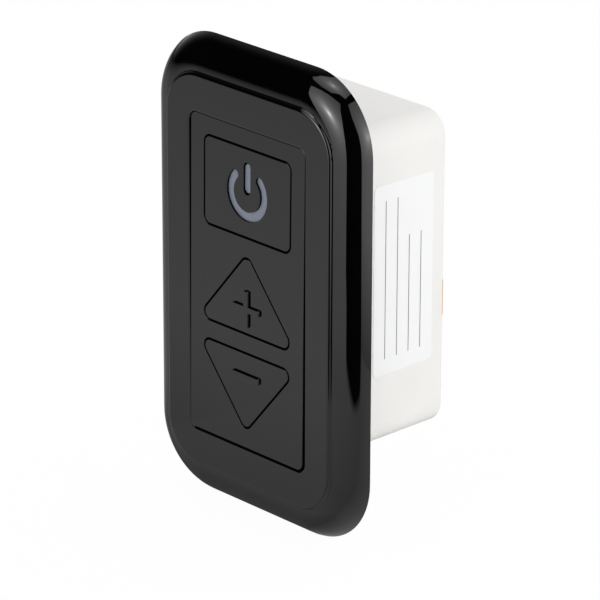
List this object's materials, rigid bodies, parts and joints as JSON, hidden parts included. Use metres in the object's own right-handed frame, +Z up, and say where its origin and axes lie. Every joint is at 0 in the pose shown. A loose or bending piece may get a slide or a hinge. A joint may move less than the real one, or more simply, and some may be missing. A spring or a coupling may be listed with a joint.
{
  "type": "dimmer switch",
  "caption": "Wall dimmer with a glossy rolled-edge cover plate, a flush power button, triangular up and down buttons with raised signs, and a white housing with rear terminals.",
  "frame": {"origin": "middle of the cover plate on the wall plane, where its rear rim rests", "axes": "+Z up the wall, +Y into the wall, so the buttons face -Y"},
  "size_m": [0.0698, 0.0496, 0.1142],
  "materials": {
    "cover_black": "glossy",
    "keypad_black": "glossy",
    "button_black": "glossy",
    "symbol_lens": "translucent",
    "snap_black": "moulded",
    "yoke_aluminium": "stamped",
    "screw_steel": "zinc plated",
    "housing_white": "moulded",
    "label_white": "coated sticker",
    "terminal_orange": "moulded",
    "switch_black": "moulded",
    "plunger_grey": "moulded",
    "board_green": "solder mask",
    "chip_black": "moulded",
    "led_clear": "clear",
    "pin_brass": "plated",
    "winding_copper": "enamelled wire",
    "capacitor_yellow": "moulded",
    "can_aluminium": "drawn",
    "core_grey": "varnished",
    "sink_aluminium": "sheet",
    "fuse_ceramic": "unglazed"
  },
  "bodies": {
    "base": {"front_cover": "cover_black", "snap_plate": "snap_black", "snap_plate_screws": "screw_steel", "mounting_yoke": "yoke_aluminium", "keypad_insert": "keypad_black", "power_switch": "switch_black", "up_switch": "switch_black", "down_switch": "switch_black", "rear_housing": "housing_white", "housing_screws": "screw_steel", "rating_label": "label_white", "control_board": "board_green", "board_spacers": "snap_black", "board_screws": "screw_steel", "indicator_led": "led_clear", "microcontroller": "chip_black", "link_socket": "switch_black", "link_header": "pin_brass", "power_board": "board_green", "power_board_screws": "screw_steel", "choke_coil": "winding_copper", "film_capacitor": "capacitor_yellow", "reservoir_capacitor": "can_aluminium", "supply_transformer": "core_grey", "heat_sink": "sink_aluminium", "triac": "chip_black", "optocoupler": "chip_black", "fuse": "fuse_ceramic", "terminal_pole_1": "terminal_orange", "terminal_pole_2": "terminal_orange", "terminal_pole_3": "terminal_orange", "terminal_screws": "screw_steel"},
    "power_key": {"power_button": "button_black", "power_symbol_lens": "symbol_lens", "power_plunger": "plunger_grey"},
    "up_key": {"up_button": "button_black", "up_plunger": "plunger_grey"},
    "down_key": {"down_button": "button_black", "down_plunger": "plunger_grey"}
  },
  "joints": [
    {"name": "power_press", "type": "slide", "parent": "base", "child": "power_key", "axis": [0, 1, 0], "range_m": [0, 0.0005], "stiffness_N_per_m": 3200},
    {"name": "up_press", "type": "slide", "parent": "base", "child": "up_key", "axis": [0, 1, 0], "range_m": [0, 0.0005], "stiffness_N_per_m": 3200},
    {"name": "down_press", "type": "slide", "parent": "base", "child": "down_key", "axis": [0, 1, 0], "range_m": [0, 0.0005], "stiffness_N_per_m": 3200}
  ]
}
